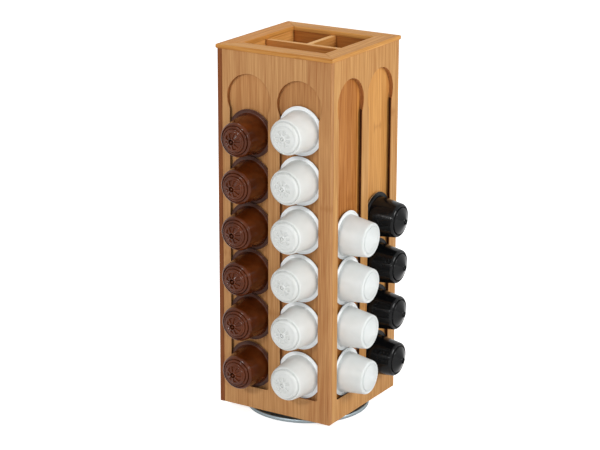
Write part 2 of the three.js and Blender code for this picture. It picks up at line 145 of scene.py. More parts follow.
def bamboo(name, along, across, seed, light="#CB9A60", dark="#A36A35", strip_contrast=0.35):
    material, tree = new_material(name)
    through = next(axis for axis in AXES if axis not in (along, across))
    place = add_node(tree, "TexCoord").outputs["Object"]
    places = add_node(tree, "SeparateXYZ", {0: place}).outputs

    # Strips: a random colour for each, and the distance to the nearest glue line
    strip_place = {0: places[across], 1: 1 / (STRIP_WIDTH * MM), 2: seed}
    strip_place = add_node(tree, "Math", strip_place, operation="MULTIPLY_ADD")
    line = {"W": strip_place, "Scale": 1.0, "Randomness": STRIP_UNEVENNESS}
    strips = add_node(tree, "TexVoronoi", line, voronoi_dimensions="1D")
    edges = add_node(tree, "TexVoronoi", line, voronoi_dimensions="1D", feature="DISTANCE_TO_EDGE")
    strip_random = add_node(tree, "SeparateColor", {0: strips.outputs["Color"]}).outputs
    shift = {0: strip_random[0], 1: STRIP_SHIFT, 2: places[along]}
    along_place = add_node(tree, "Math", shift, operation="MULTIPLY_ADD")

    # Fibres and wider streaks, both drawn out along the grain
    grain = []
    for width, length in ((FIBRE_WIDTH, FIBRE_LENGTH), (STREAK_WIDTH, STREAK_LENGTH)):
        parts = ((places[across], width), (places[through], width), (along_place, length))
        stretched = add_node(tree, "CombineXYZ", {
            axis: add_node(
                tree, "Math", {0: part, 1: 1 / (size * MM), 2: seed}, operation="MULTIPLY_ADD"
            )
            for axis, (part, size) in enumerate(parts)
        })
        grain.append(add_node(tree, "TexNoise", {"Vector": stretched, "Scale": 1.0, "Detail": 2.5}))
    fibres, streaks = grain

    # The tone runs from the light to the dark colour by strip, streak and fibre
    tone = {0: strip_random[1], 1: strip_contrast, 2: TONE_START - strip_contrast / 2}
    tone = add_node(tree, "Math", tone, operation="MULTIPLY_ADD")
    for pattern, strength in ((streaks, STREAK_STRENGTH), (fibres, FIBRE_STRENGTH)):
        tone = {0: pattern, 1: strength, 2: tone}
        tone = add_node(tree, "Math", tone, operation="MULTIPLY_ADD")
    wood = {0: tone, 6: linear(light), 7: linear(dark)}
    wood = add_node(tree, "Mix", wood, data_type="RGBA", clamp_factor=True).outputs[2]

    # A node of the cane darkens a short, uneven band of its strip
    turns = {0: along_place, 1: 1 / (NODE_SPACING * MM)}
    turns = add_node(tree, "Math", turns, operation="MULTIPLY")
    turns = add_node(tree, "Math", {0: turns, 1: 0.5}, operation="PINGPONG")
    wave = {0: streaks, 1: NODE_WAVE, 2: NODE_WAVE_START}
    wave = add_node(tree, "Math", wave, operation="MULTIPLY_ADD")
    distance = {0: turns, 1: NODE_SPACING, 2: wave}
    distance = add_node(tree, "Math", distance, operation="MULTIPLY_ADD")
    band = {"Value": distance, "From Max": NODE_HALF_WIDTH, "To Min": NODE_STRENGTH, "To Max": 0.0}
    band = add_node(tree, "MapRange", band, interpolation_type="SMOOTHSTEP")
    wood = {0: band, 6: wood, 7: linear(NODE_BROWN)}
    wood = add_node(tree, "Mix", wood, data_type="RGBA").outputs[2]

    # The glue line is a thin darker seam
    seam = {"Value": edges.outputs["Distance"], "From Max": GLUE_LINE_SHARE}
    seam = add_node(tree, "MapRange", {**seam, "To Min": GLUE_STRENGTH, "To Max": 0.0})
    wood = {0: seam, 6: wood, 7: linear(GLUE_BROWN)}
    wood = add_node(tree, "Mix", wood, data_type="RGBA").outputs[2]

    height = add_node(tree, "Math", {0: fibres, 1: streaks}, operation="ADD")
    bump = {"Strength": 0.3, "Distance": GRAIN_RELIEF * MM, "Height": height}
    bump = add_node(tree, "Bump", bump)
    sheen = {"Value": fibres, "From Min": 0.3, "From Max": 0.7, "To Min": 0.46, "To Max": 0.6}
    shader = add_node(tree, "BsdfPrincipled", {
        "Base Color": wood,
        "Roughness": add_node(tree, "MapRange", sheen),
        "IOR": 1.5,
        "Specular IOR Level": 0.16,
        "Normal": bump,
    })
    finish_material(tree, shader)
    return material


print("strip width in mm", STRIP_WIDTH)

# %% [markdown]
# The turntable is pressed steel sheet with a bright zinc plating. The plating follows the rolled
# surface of the sheet, so it has a faint cloudy unevenness and no direction. A metal takes its
# colour from its base colour, and its default index of refraction stays.

# %% Zinc plated steel
def plated_steel(name, colour, roughness, grain_size):
    material, tree = new_material(name)
    place = add_node(tree, "TexCoord").outputs["Object"]
    clouds = {"Vector": place, "Scale": 1 / (grain_size * MM), "Detail": 3.0}
    clouds = add_node(tree, "TexNoise", clouds)
    rough = add_node(tree, "MapRange", {
        "Value": clouds,
        "From Min": 0.3,
        "From Max": 0.7,
        "To Min": roughness - 0.06,
        "To Max": roughness + 0.08,
    })
    bump = add_node(tree, "Bump", {"Strength": 0.03, "Distance": 0.03 * MM, "Height": clouds})
    shader = add_node(tree, "BsdfPrincipled", {
        "Base Color": linear(colour),
        "Metallic": 1.0,
        "Roughness": rough,
        "Normal": bump,
    })
    finish_material(tree, shader)
    return material


plate_steel = plated_steel("zinc_plated_sheet_steel", "#98A5AB", 0.42, 6)
fastener_steel = plated_steel("zinc_plated_fastener_steel", "#A9ADAE", 0.35, 2)
ball_steel = plated_steel("polished_ball_steel", "#C8CBCC", 0.12, 3)
print("metals", [m.name for m in bpy.data.materials if "steel" in m.name])

# %% [markdown]
# Under the turntable lies a pad of black foam rubber, moulded with a fine pebbled skin that keeps
# the tower from sliding. Rubber is matt, and the pebbles show only as a soft break-up of the
# light.

# %% Moulded rubber
PEBBLE_SIZE = 0.9


def moulded_rubber(name):
    material, tree = new_material(name)
    place = add_node(tree, "TexCoord").outputs["Object"]
    pebbles = add_node(tree, "TexVoronoi", {"Vector": place, "Scale": 1 / (PEBBLE_SIZE * MM)})
    bump = add_node(tree, "Bump", {"Strength": 0.5, "Distance": 0.1 * MM, "Height": pebbles})
    shader = add_node(tree, "BsdfPrincipled", {
        "Base Color": linear("#1D1D1C"),
        "Roughness": 0.85,
        "IOR": 1.5,
        "Normal": bump,
    })
    finish_material(tree, shader)
    return material


rubber = moulded_rubber("moulded_black_rubber")
print("rubber pebbles in mm", PEBBLE_SIZE)

# %% [markdown]
# The capsules are injection moulded polypropylene. It flows from the middle of the front to the
# flange, which leaves a faint cloudiness in the colour and tiny waves in the gloss. Black and
# brown are glossy, white is satin and lets a little light in under the surface. The flange is the
# same plastic, but each kind has a second plastic for it. On white it is lighter, partly because
# the thin flange lets light through and partly as painted light that lifts it out of the cup's
# shade; on brown it is duller and greyer, a painted reflection of the white surroundings; on black
# it is a little darker and less shiny, painted shade. The lid behind the flange is aluminium foil,
# crimped round the flange's rim, where it shows as a thin silver line.

# %% Moulded plastic and foil
CLOUD_SIZE = 14
WAVE_SIZE = 2.2
KINDS = ("brown_capsule", "white_capsule", "slim_white_capsule", "black_capsule")


def moulded_plastic(finish, colour, shade, roughness, specular, depth):
    material, tree = new_material(f"{finish}_polypropylene")
    place = add_node(tree, "TexCoord").outputs["Object"]
    clouds = {"Vector": place, "Scale": 1 / (CLOUD_SIZE * MM), "Detail": 2.0}
    clouds = add_node(tree, "TexNoise", clouds)
    waves = {"Vector": place, "Scale": 1 / (WAVE_SIZE * MM), "Detail": 1.0}
    waves = add_node(tree, "TexNoise", waves)
    factor = add_node(tree, "MapRange", {"Value": clouds, "From Min": 0.3, "From Max": 0.7})
    tint = {0: factor, 6: linear(colour), 7: linear(shade)}
    tint = add_node(tree, "Mix", tint, data_type="RGBA").outputs[2]
    rough = add_node(tree, "MapRange", {
        "Value": waves,
        "From Min": 0.3,
        "From Max": 0.7,
        "To Min": roughness - 0.02,
        "To Max": roughness + 0.03,
    })
    bump = add_node(tree, "Bump", {"Strength": 0.05, "Distance": 0.03 * MM, "Height": waves})
    shader = add_node(tree, "BsdfPrincipled", {
        "Base Color": tint,
        "Roughness": rough,
        "IOR": 1.49,
        "Specular IOR Level": specular,
        "Subsurface Weight": depth,
        "Subsurface Radius": (1.0, 0.98, 0.93),
        "Subsurface Scale": 3.0 * MM,
        "Normal": bump,
    })
    finish_material(tree, shader)
    return material


def aluminium_foil(name):
    material, tree = new_material(name)
    place = add_node(tree, "TexCoord").outputs["Object"]
    creases = add_node(tree, "TexNoise", {"Vector": place, "Scale": 1 / (5 * MM), "Detail": 4.0})
    bump = add_node(tree, "Bump", {"Strength": 0.3, "Distance": 0.15 * MM, "Height": creases})
    shader = add_node(tree, "BsdfPrincipled", {
        "Base Color": linear("#CFD2D4"),
        "Metallic": 1.0,
        "Roughness": 0.32,
        "Normal": bump,
    })
    finish_material(tree, shader)
    return material


CUP_PLASTICS = (
    ("glossy_brown", "#5D2A0C", "#4A1F08", 0.17, 0.24, 0.0),
    ("satin_white", "#D6D8D6", "#D0D2CF", 0.42, 0.35, 0.5),
    ("matt_white", "#D8DBDA", "#D1D5D4", 0.45, 0.35, 0.5),
    ("glossy_black", "#101112", "#0C0C0D", 0.14, 0.19, 0.0),
)
# Flanges: white lighter partly as painted light, brown greyer as painted reflection, black darker
# as painted shade
FLANGE_PLASTICS_PAINTED_LIGHT_AND_SHADE = (
    ("flange_brown_painted_reflection", "#5A3629", "#46291F", 0.35, 0.25, 0.0),
    ("flange_white_painted_light", "#F2F5F6", "#EDF0F1", 0.42, 0.35, 0.0),
    ("flange_matt_white_painted_light", "#F1F4F4", "#ECEFEF", 0.45, 0.35, 0.0),
    ("flange_black_painted_shade", "#0C0D0E", "#090A0A", 0.3, 0.12, 0.0),
)
cup_plastics = {kind: moulded_plastic(*mix) for kind, mix in zip(KINDS, CUP_PLASTICS)}
flange_plastics_painted_light_and_shade = {kind: moulded_plastic(*mix) for kind, mix in zip(KINDS, FLANGE_PLASTICS_PAINTED_LIGHT_AND_SHADE)}
foil = aluminium_foil("aluminium_foil")
print("plastics", [m.name for m in bpy.data.materials if "polypropylene" in m.name])

# %% [markdown]
# A finished piece is a mesh object at the origin, with its place in its mesh. It rides on the body
# of the node that it stands for. All faces are shaded smooth up to the sharp edges, and weighted
# normals keep the large faces flat, so that only the eased edges and the round walls look round.

# %% Helpers for pieces
SHARP_ANGLE = 40
EDGE_ANGLE = 30
FLAT_ANGLE = 0.5
MERGE_DISTANCE = 0.001


def make_piece(name, shape, materials, nodes):
    bmesh.ops.recalc_face_normals(shape, faces=shape.faces)
    mesh = bpy.data.meshes.new(name)
    for face in shape.faces:
        face.smooth = True
    shape.to_mesh(mesh)
    shape.free()
    mesh.set_sharp_from_angle(angle=math.radians(SHARP_ANGLE))
    for material in materials:
        mesh.materials.append(material)
    piece = bpy.data.objects.new(name, mesh)
    bpy.context.scene.collection.objects.link(piece)
    even = piece.modifiers.new("even shading", "WEIGHTED_NORMAL")
    even.keep_sharp = True
    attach(piece, body_of_node[nodes[0]])
    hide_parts(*nodes)
    return piece


def merge(shape):
    bmesh.ops.remove_doubles(shape, verts=shape.verts, dist=MERGE_DISTANCE * MM)


def clean(shape):
    merge(shape)
    limit = math.radians(FLAT_ANGLE)
    bmesh.ops.dissolve_limit(shape, angle_limit=limit, verts=shape.verts, edges=shape.edges)
    return shape


def cad_copy(node):
    shape = bmesh.new()
    shape.from_mesh(frame["nodes"][node].data)
    return clean(shape)


def divide(shape, place, normal):
    everything = shape.verts[:] + shape.edges[:] + shape.faces[:]
    bmesh.ops.bisect_plane(shape, geom=everything, plane_co=place, plane_no=normal)


def bevel(shape, edges, offset, segments):
    bmesh.ops.bevel(
        shape,
        geom=edges,
        offset=offset * MM,
        offset_type="OFFSET",
        affect="EDGES",
        segments=segments,
        profile=0.5,
        material=-1,
        clamp_overlap=False,
    )


def sharp_edges(shape):
    limit = math.radians(EDGE_ANGLE)
    return [e for e in shape.edges if len(e.link_faces) == 2 and e.calc_face_angle() > limit]


# %% [markdown]
# Each face of the tower is one board, and a router has cut two keyholes into it: right through for
# the round mouth and the slot, and from behind for the wider groove that the capsules' flanges
# slide in. The same order works here. An outline is drawn by spinning a vertex round the centre of
# each arc and extruding it along each straight, filled, given a depth, and taken out of a plain
# board with an exact Boolean. The board is always drawn as the front one, and is turned into its
# place at the end.

# %% Sizes of the keyholes
LIP_THICKNESS = 1.5
LIP_REACH = 3.3
MULLION_WIDTH = 8.6
SLOT_CORNER_RADIUS = 3
SHOULDER_RADIUS = 8
MOUTH_TO_TOP = 24.4
SLOT_FLOOR_HEIGHT = 25.6
GROOVE_UNDERCUT = 2.1
MOUTH_RADIUS = 28.2
MOUTH_STEPS = 96
CORNER_STEPS = 8
OVERRUN = 1
QUARTER = math.pi / 2

panel_low, panel_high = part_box("front_panel")
panel_front = panel_low.y / MM
panel_back = panel_high.y / MM
slot_half_width = MOUTH_RADIUS - LIP_REACH
slot_floor = panel_low.z / MM + SLOT_FLOOR_HEIGHT
body_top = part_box("front_frame_rail")[0].z / MM
mouth_height = body_top - MOUTH_TO_TOP - MOUTH_RADIUS
channel_offset = MULLION_WIDTH / 2 + MOUTH_RADIUS
print("mouth height in mm", round(mouth_height, 1), "channel offset", round(channel_offset, 1))


# %% Draw the outlines
def swing(shape, vertex, centre_x, centre_z, angle, steps):
    arc = bmesh.ops.spin(
        shape,
        geom=[vertex],
        cent=(centre_x * MM, vertex.co.y, centre_z * MM),
        axis=(0, -1, 0),
        angle=angle,
        steps=steps,
    )
    return next(item for item in arc["geom_last"] if isinstance(item, bmesh.types.BMVert))


def straight(shape, vertex, x, z):
    end = shape.verts.new((x * MM, vertex.co.y, z * MM))
    shape.edges.new((vertex, end))
    return end


def prism(shape, front, back):
    for vertex in shape.verts:
        vertex.co.y = front * MM
    merge(shape)
    face = bmesh.ops.contextual_create(shape, geom=shape.edges[:])["faces"][0]
    moved = bmesh.ops.extrude_face_region(shape, geom=[face])["geom"]
    back_vertices = [item for item in moved if isinstance(item, bmesh.types.BMVert)]
    bmesh.ops.translate(shape, verts=back_vertices, vec=(0, (back - front) * MM, 0))
    bmesh.ops.recalc_face_normals(shape, faces=shape.faces)
    return shape


def keyhole_cutter(centre):
    shoulder_x = slot_half_width + SHOULDER_RADIUS
    reach = MOUTH_RADIUS + SHOULDER_RADIUS
    drop = math.sqrt(reach ** 2 - shoulder_x ** 2)
    shoulder_z = mouth_height - drop
    meeting = math.atan2(drop, shoulder_x)
    corner_x = slot_half_width - SLOT_CORNER_RADIUS
    corner_z = slot_floor + SLOT_CORNER_RADIUS
    shape = bmesh.new()
    first = shape.verts.new(((centre + corner_x) * MM, 0, slot_floor * MM))
    at = swing(shape, first, centre + corner_x, corner_z, QUARTER, CORNER_STEPS)
    at = straight(shape, at, centre + slot_half_width, shoulder_z)
    at = swing(shape, at, centre + shoulder_x, shoulder_z, -meeting, CORNER_STEPS)
    at = swing(shape, at, centre, mouth_height, math.pi + 2 * meeting, MOUTH_STEPS)
    at = swing(shape, at, centre - shoulder_x, shoulder_z, -meeting, CORNER_STEPS)
    at = straight(shape, at, centre - slot_half_width, corner_z)
    at = swing(shape, at, centre - corner_x, corner_z, QUARTER, CORNER_STEPS)
    shape.edges.new((at, first))
    return prism(shape, panel_front - OVERRUN, panel_back + OVERRUN)


def groove_cutter(centre):
    groove_floor = slot_floor - GROOVE_UNDERCUT
    corner_x = MOUTH_RADIUS - SLOT_CORNER_RADIUS
    corner_z = groove_floor + SLOT_CORNER_RADIUS
    shape = bmesh.new()
    first = shape.verts.new(((centre + corner_x) * MM, 0, groove_floor * MM))
    at = swing(shape, first, centre + corner_x, corner_z, QUARTER, CORNER_STEPS)
    at = straight(shape, at, centre + MOUTH_RADIUS, mouth_height)
    at = swing(shape, at, centre, mouth_height, math.pi, MOUTH_STEPS)
    at = straight(shape, at, centre - MOUTH_RADIUS, corner_z)
    at = swing(shape, at, centre - corner_x, corner_z, QUARTER, CORNER_STEPS)
    shape.edges.new((at, first))
    return prism(shape, panel_front + LIP_THICKNESS, panel_back + OVERRUN)


trial = keyhole_cutter(channel_offset)
print("keyhole cutter faces", len(trial.faces), "vertices", len(trial.verts))
trial.free()


# %% Cut with an exact Boolean
def object_from(name, shape):
    mesh = bpy.data.meshes.new(name)
    shape.to_mesh(mesh)
    shape.free()
    made = bpy.data.objects.new(name, mesh)
    bpy.context.scene.collection.objects.link(made)
    return made


def cut(shape, cutters):
    blank = object_from("blank", shape)
    tools = [object_from("cutter", cutter) for cutter in cutters]
    for tool in tools:
        modifier = blank.modifiers.new("cut", "BOOLEAN")
        modifier.operation = "DIFFERENCE"
        modifier.solver = "EXACT"
        modifier.object = tool
    evaluated = blank.evaluated_get(bpy.context.evaluated_depsgraph_get())
    result = bmesh.new()
    result.from_mesh(evaluated.to_mesh())
    evaluated.to_mesh_clear()
    for made in [blank, *tools]:
        mesh = made.data
        bpy.data.objects.remove(made)
        bpy.data.meshes.remove(mesh)
    return clean(result)


def block(low, high):
    shape = bmesh.new()
    middle = (low + high) / 2
    size = high - low
    place = Matrix.Translation(middle) @ Matrix.Diagonal((*size, 1))
    bmesh.ops.create_cube(shape, size=1, matrix=place)
    return shape


def face_panel():
    cutters = []
    for side in (-1, 1):
        cutters.append(keyhole_cutter(side * channel_offset))
        cutters.append(groove_cutter(side * channel_offset))
    return cut(block(panel_low, panel_high), cutters)


board = face_panel()
print("front board faces", len(board.faces), "open edges", sum(e.is_boundary for e in board.edges))
board.free()

# %% [markdown]
# The router leaves a crisp edge that is sanded until it no longer cuts the fingers, so the outline
# of each keyhole and the ends of the board get a small round. The board's free corner is sanded
# further, because a hand turns the tower there, and its other edge gets a flat chamfer where it
# meets the next board. Bevelling only the edges that lie in the front face, and the corner, keeps
# the hidden groove square.

# %% Ease the edges
EDGE_ROUND = 0.45
CORNER_ROUND = 0.8
JOINT_CHAMFER = 0.9
TOLERANCE = 0.01


def near(a, b):
    return abs(a - b) < TOLERANCE * MM


def eased_panel():
    shape = face_panel()
    corner = [
        e for e in shape.edges
        if all(near(v.co.y, panel_low.y) and near(v.co.x, panel_high.x) for v in e.verts)
    ]
    bevel(shape, corner, CORNER_ROUND, 5)
    front = [e for e in sharp_edges(shape) if all(near(v.co.y, panel_low.y) for v in e.verts)]
    joint = [e for e in front if all(near(v.co.x, panel_low.x) for v in e.verts)]
    bevel(shape, [e for e in front if e not in joint], EDGE_ROUND, 3)
    joint = [
        e for e in sharp_edges(shape)
        if all(near(v.co.y, panel_low.y) and near(v.co.x, panel_low.x) for v in e.verts)
    ]
    bevel(shape, joint, JOINT_CHAMFER, 1)
    return shape


trial = eased_panel()
print("eased board faces", len(trial.faces))
trial.free()

# %% [markdown]
# The walls of the mouths get a browner bamboo than the faces. Below the waist of the keyholes the
# walls of the slots and of the groove behind the lips get a near-black bamboo, painted shade for
# the deep undercut that no lamp reaches; in the front's second slot this painted shade is a
# lighter brown, for the light that the white capsules throw in. The front shows the left board's
# end as a dark upright strip, and the same dark wood goes on for a narrow band of the front board
# beside the joint. Each of these faces gets its own bamboo. The board is divided at the waist of
# the keyholes and at the end of the dark band first, so that the borders between the woods fall
# on edges.

# %% Give each face its wood and place the four panels
FACES = ("front", "right", "back", "left")
BOARD, ROUTED, DEEP_PAINTED_SHADE, DARK, LIGHTER_PAINTED_SHADE = range(5)
DARK_STRIP = 1.3
WAIST_DROP = 12
WALL_START = 0.6
waist_height = mouth_height - WAIST_DROP
strip_end = panel_low.x + DARK_STRIP * MM


def is_cut(surface):
    middle = surface.calc_center_median()
    inside = panel_low.x + LIP_THICKNESS * MM < middle.x < panel_high.x - LIP_THICKNESS * MM
    inside = inside and slot_floor - 2 * GROOVE_UNDERCUT < middle.z / MM < body_top - LIP_THICKNESS
    inside = inside and panel_low.y + EDGE_ROUND * MM < middle.y < panel_high.y - TOLERANCE * MM
    chamfer = surface.normal.y < -0.5 and surface.normal.x < -0.5
    return inside or chamfer


def wood_of(surface, face):
    middle = surface.calc_center_median()
    if face == "front" and middle.x < strip_end:
        return DARK
    if face == "left" and middle.x > panel_high.x - CORNER_ROUND * MM:
        return DARK
    if not is_cut(surface):
        return BOARD
    in_wall = panel_low.y + WALL_START * MM < middle.y < panel_high.y - TOLERANCE * MM
    # Below the waist the walls are painted shade, lighter in the front's second slot
    if in_wall and middle.z / MM < waist_height:
        return LIGHTER_PAINTED_SHADE if face == "front" and middle.x > 0 else DEEP_PAINTED_SHADE
    return ROUTED


cut_edge = bamboo("bamboo_routed_edge", "Z", "X", 57.1, "#B87C48", "#8E572B")
# Painted shade for the walls below the waist, and a lighter painted shade for the second slot
groove_painted_shade = bamboo("bamboo_groove_painted_shade", "Z", "X", 71.9, "#5A3018", "#3A1C0C")
groove_lighter_painted_shade = bamboo("bamboo_groove_lighter_painted_shade", "Z", "X", 73.3, "#9E5127", "#693217")
panel_woods = {
    "front": bamboo("bamboo_upright_front", "Z", "X", 24.5, "#C49561", "#9E683C"),
    "right": bamboo("bamboo_upright_right", "Z", "Y", 53.1, "#CC9C60", "#A26A36", 0.2),
    "back": bamboo("bamboo_upright_back", "Z", "X", 23.9),
    "left": bamboo("bamboo_upright_left", "Z", "Y", 31.3),
}
dark_edge = bamboo("bamboo_dark_edge_strip", "Z", "Y", 5.5, "#8F532A", "#6D391A")

for turns, face in enumerate(FACES):
    shape = eased_panel()
    divide(shape, (0, 0, waist_height * MM), (0, 0, 1))
    divide(shape, (strip_end, 0, 0), (1, 0, 0))
    for surface in shape.faces:
        surface.material_index = wood_of(surface, face)
    turn = Matrix.Rotation(turns * QUARTER, 4, "Z")
    bmesh.ops.transform(shape, matrix=turn, verts=shape.verts)
    woods = [panel_woods[face], cut_edge, groove_painted_shade, dark_edge, groove_lighter_painted_shade]
    piece = make_piece(f"{face}_panel_board", shape, woods, [f"{face}_panel"])
    print(piece.name, "faces", len(piece.data.polygons))

# %% [markdown]
# The other boards are plain planks, and the CAD solids already have their true outlines. A merged
# copy of each solid gets its edges eased and a bamboo whose grain runs along the plank. Behind
# each pair of channels the backboard is glued up from two boards of different tone, so it is
# divided in two faces at the middle. On the right face both boards are also a deeper orange,
# painted bounce light from the walls of the channels. The top frame is four mitred rails, and its
# long edges are rounded over, which catches the light as a thin bright line. The long divider's
# sides are a darker bamboo, painted shade of the tray around them, and the dividers' top faces are
# a paler one, painted light from above.

# %% Backboards, tray and frame
BACKBOARD_ROUND = 0.2
RAIL_ROUND = 0.5
WALL_ROUND = 0.4
DIVIDER_ROUND = 0.35
BOARD_ROUND = 0.3


def plank(node, woods, rounding, segments=2):
    shape = cad_copy(node)
    bevel(shape, sharp_edges(shape), rounding, segments)
    shape.normal_update()
    for surface in shape.faces:
        # Upward faces take the second wood if there is one, which on the dividers is painted light
        surface.material_index = int(len(woods) > 1 and surface.normal.z > 0.5)
    return make_piece(f"{node}_board", shape, woods, [node])


BACKBOARD_WOODS = {
    "front": ((41.3, "#C6935E", "#A06839"), (42.3, "#BD8A56", "#935D33")),
    "right": ((29.3, "#C98A47", "#8E4F1A"), (105.4, "#D39B56", "#A7692F")),
    # The right pair's deeper orange is painted bounce light from the walls of its channels
    "back": ((56.7, "#CD9A60", "#A76D37"), (57.7, "#C69459", "#9B6330")),
    "left": ((64.4, "#C08244", "#965826"), (65.4, "#D5A25F", "#AC7338")),
}
TRAY_COLOURS = {
    "front": ("#D69A55", "#AC6F32"),
    "right": ("#D69A55", "#AC6F32"),
    "back": ("#AE6D30", "#864A19"),
    "left": ("#F2B768", "#CB8740"),
}
RAIL_COLOURS = dict.fromkeys(FACES, ("#D59C54", "#A66A2C")) | {"left": ("#D39347", "#A46425")}


def two_boards(face, across, woods):
    shape = cad_copy(f"{face}_backboard")
    normal = Vector((1, 0, 0)) if across == "X" else Vector((0, 1, 0))
    divide(shape, (0, 0, 0), normal)
    bevel(shape, sharp_edges(shape), BACKBOARD_ROUND, 2)
    for surface in shape.faces:
        surface.material_index = int(surface.calc_center_median().dot(normal) > 0)
    return make_piece(f"{face}_backboard_pair", shape, woods, [f"{face}_backboard"])


for number, face in enumerate(FACES):
    length, width = ("X", "Y") if number % 2 == 0 else ("Y", "X")
    pair = []
    for half, seed_and_colours in enumerate(BACKBOARD_WOODS[face]):
        pair.append(bamboo(f"bamboo_backboard_{face}_{half + 1}", "Z", length, *seed_and_colours))
    two_boards(face, length, pair)
    rail_seed, wall_seed = 61.9 + 5.3 * number, 83.7 + 3.9 * number
    rail_wood = bamboo(f"bamboo_rail_{face}", length, width, rail_seed, *RAIL_COLOURS[face])
    plank(f"{face}_frame_rail", [rail_wood], RAIL_ROUND, 3)
    wall_wood = bamboo(f"bamboo_tray_{face}", length, "Z", wall_seed, *TRAY_COLOURS[face])
    plank(f"{face}_tray_wall", [wall_wood], WALL_ROUND)
    print(face, "backboard, rail and tray wall dressed")

floor_wood = bamboo("bamboo_tray_floor", "X", "Y", 97.1, "#BD7A3A", "#90541E")
plank("tray_floor", [floor_wood], BOARD_ROUND)
DIVIDERS = {
    # The long divider's darker bamboo is painted shade from the tray around it
    "long": ("X", "Y", 103.3, 104.9, "#C98A48", "#9E5D26"),
    "cross": ("Y", "X", 109.9, 111.3, "#D69A55", "#AC6F32"),
}
for name, (length, width, side_seed, top_seed, *colours) in DIVIDERS.items():
    side = bamboo(f"bamboo_{name}_divider", length, "Z", side_seed, *colours)
    # The top faces' paler bamboo is painted light from above
    top = bamboo(f"bamboo_{name}_divider_painted_light_top", length, width, top_seed, "#E8B878", "#C98F50")
    plank(f"tray_{name}_divider", [side, top], DIVIDER_ROUND)
plank("bottom_board", [bamboo("bamboo_bottom_board", "X", "Y", 115.7)], BOARD_ROUND)

# %% [markdown]
# A capsule is a thin moulded cup, closed at the back by a foil lid. Its form is round, so one
# profile spun about the axis makes all of it: the flange with a raised bead, the tapering wall,
# the rounded shoulder, a groove, and a stepped cone with the outlet in its middle. The outlet is a
# deep hole on brown and black, a raised ring on white, and a dimple on slim white. The corners of
# the profile are drawn sharp, and the rings that they make are bevelled afterwards, each with its
# own round. On two kinds, pockets between the outlet and the step leave eight spokes, which an
# inset makes from whole faces. Black's lid ends a little higher on the rim than the others', so
# more silver shows.

# %% Profiles of the four kinds, as radius, height and round in millimetres
FLANGE_RADIUS = 27.8
FLANGE_THICKNESS = 1.2
FLANGE_TOP = 0.62
GROOVE_CLEARANCE = 0.15
CAPSULE_STEPS = 72
SPOKES = 8
POCKET_STEPS = 6
FOIL_RADIUS = 27.2
FOIL_EDGES = dict(zip(KINDS, (-0.1, -0.1, -0.1, 0.2)))
POCKET_OUTER = 9.6
POCKET_INNER = 4.2
POCKET_WALL = 0.5

LID = [(0, -0.6, 0), (FOIL_RADIUS, -0.6, 0), (FLANGE_RADIUS, -0.5, 0)]
FLANGE_AND_WALL = [
    (FLANGE_RADIUS, 0.6, 0.25),
    (26.7, 0.6, 0.2),
    (26.3, 0.25, 0.15),
    (24.0, 0.25, 0.4),
    (23.2, 1.3, 0.5),
]
DEEP_OUTLET = [
    (3.5, 0, 0.15),
    (3.2, 0, 0.1),
    (3.1, -5, 0),
    (1.2, -5, 0),
    (1.1, -0.2, 0.3),
    (0, 0, 0),
]
RING_OUTLET = [
    (3.1, 0, 0.1),
    (2.9, 0.3, 0.15),
    (2.5, 0.3, 0.1),
    (2.3, -1.4, 0.1),
    (1.3, -1.4, 0.1),
    (1.1, 0, 0.15),
    (0, 0, 0),
]
DIMPLE_OUTLET = [(2.2, 0, 0.3), (1.2, -0.3, 0.2), (0, -0.35, 0)]
OUTLETS = dict(zip(KINDS, (DEEP_OUTLET, RING_OUTLET, DIMPLE_OUTLET, DEEP_OUTLET)))
FRONTS = {
    "brown_capsule": [
        (19.7, 28.6, 0),
        (18.9, 30.7, 1.6),
        (17.5, 31.3, 0.2),
        (17.1, 29.8, 0.15),
        (16.3, 29.9, 0.15),
        (15.8, 32.2, 0.7),
        (14.1, 32.8, 0.2),
        (13.8, 32.0, 0.15),
        (13.3, 32.1, 0.15),
        (12.9, 34.0, 0.6),
        (11.3, 34.5, 0.2),
        (10.9, 35.4, 0.2),
        (POCKET_OUTER, 35.8, 0),
        (POCKET_INNER, 38.2, 0),
    ],
    "white_capsule": [
        (20.0, 28.8, 0),
        (19.3, 31.2, 0.9),
        (18.6, 31.5, 0.3),
        (18.0, 31.0, 0.3),
        (17.3, 31.3, 0.3),
        (16.6, 34.2, 0.9),
        (14.2, 35.3, 0.3),
        (13.7, 34.9, 0.2),
        (13.2, 35.3, 0.2),
        (POCKET_OUTER, 36.6, 0),
        (POCKET_INNER, 37.6, 0),
    ],
    "slim_white_capsule": [
        (19.7, 28.6, 0),
        (19.2, 31.0, 0.9),
        (17.0, 31.6, 0.3),
        (16.3, 30.8, 0.3),
        (15.6, 31.0, 0.3),
        (15.0, 32.3, 0.6),
        (10.5, 34.4, 0.6),
        (POCKET_INNER, 37.3, 0),
    ],
    "black_capsule": [
        (19.7, 28.6, 0),
        (18.9, 31.0, 1.5),
        (17.0, 31.6, 0.3),
        (16.3, 30.0, 0.3),
        (15.6, 30.3, 0.3),
        (15.1, 32.4, 0.5),
        (10.5, 34.4, 0.4),
        (POCKET_INNER, 37.3, 0),
    ],
}
TIPS = dict(zip(KINDS, (39.3, 38.1, 38.1, 38.1)))
POCKET_DEPTHS = {"brown_capsule": 1.3, "white_capsule": 0.8}
print("points in the fronts", {kind: len(front) for kind, front in FRONTS.items()})


# %% Spin a capsule
def lathe(profile, steps):
    shape = bmesh.new()
    chain = [shape.verts.new((radius * MM, 0, height * MM)) for radius, height, _ in profile]
    edges = [shape.edges.new(pair) for pair in zip(chain, chain[1:])]
    bmesh.ops.spin(
        shape,
        geom=chain + edges,
        cent=(0, 0, 0),
        axis=(0, 0, 1),
        angle=2 * math.pi,
        steps=steps,
        use_merge=True,
    )
    merge(shape)
    bmesh.ops.recalc_face_normals(shape, faces=shape.faces)
    return shape


